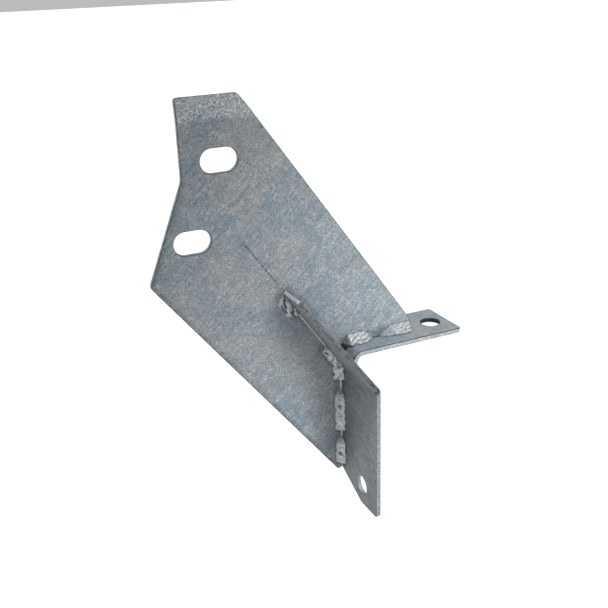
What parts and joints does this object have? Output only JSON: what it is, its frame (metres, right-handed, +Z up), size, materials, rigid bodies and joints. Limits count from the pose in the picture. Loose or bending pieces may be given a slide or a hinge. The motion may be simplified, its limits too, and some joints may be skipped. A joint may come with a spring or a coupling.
{
  "type": "roof bracket",
  "caption": "Welded galvanised roof bracket: tall slotted web plate, bent gusset leg with a bolt hole, and a flat foot with a bolt hole and a turned-down lip.",
  "frame": {"origin": "middle of the foot's flat underside, the face that rests on a timber or plate", "axes": "+X along the foot away from the leg, +Y through the web from its welded front to its back, +Z up the web towards the slots"},
  "size_m": [0.2044, 0.071, 0.2708],
  "materials": {
    "galvanised_plate": "hot-dip galvanised, dull and mottled",
    "galvanised_weld": "bright zinc over rippled weld"
  },
  "bodies": {
    "root": {"web_plate": "galvanised_plate", "gusset_leg": "galvanised_plate", "foot": "galvanised_plate", "weld_gusset_top": "galvanised_weld", "weld_gusset_far": "galvanised_weld", "weld_gusset_root": "galvanised_weld", "weld_corner": "galvanised_weld", "weld_leg_long": "galvanised_weld", "weld_leg_short": "galvanised_weld", "weld_foot_inner": "galvanised_weld", "weld_foot_outer": "galvanised_weld"}
  },
  "joints": []
}
